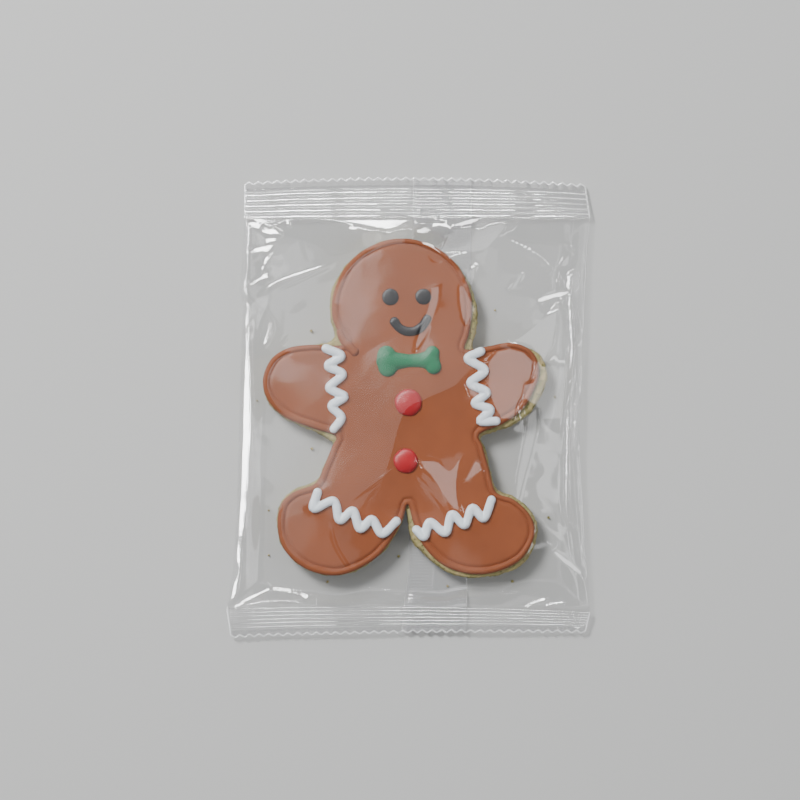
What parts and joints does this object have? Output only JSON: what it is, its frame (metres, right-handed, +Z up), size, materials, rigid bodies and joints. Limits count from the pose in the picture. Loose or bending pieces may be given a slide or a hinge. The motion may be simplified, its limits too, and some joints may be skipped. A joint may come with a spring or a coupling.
{
  "type": "gingerbread dog treat",
  "caption": "Iced gingerbread-man dog biscuit sealed in a clear flow-wrap bag with crimped, zigzag-cut ends, lying on its back.",
  "frame": {"origin": "on the floor, under the middle of the bag's outline", "axes": "+Y along the bag towards the biscuit's head, +X to the right as seen from above, +Z up, out of the shown side"},
  "size_m": [0.1166, 0.1481, 0.0116],
  "materials": {
    "film": "thin clear polypropylene film, glossy, heat-crimped with fine ribs at both ends",
    "dough": "baked biscuit dough, olive tan, rough and crumbly",
    "brown_icing": "dried royal icing, milk-chocolate brown, smooth and matte",
    "white_icing": "piped white royal icing, slightly satin",
    "green_icing": "piped green royal icing, satin",
    "red_icing": "piped red royal icing, satin",
    "dark_icing": "piped dark grey royal icing, satin"
  },
  "bodies": {
    "root": {"bag": "film"}
  },
  "joints": []
}
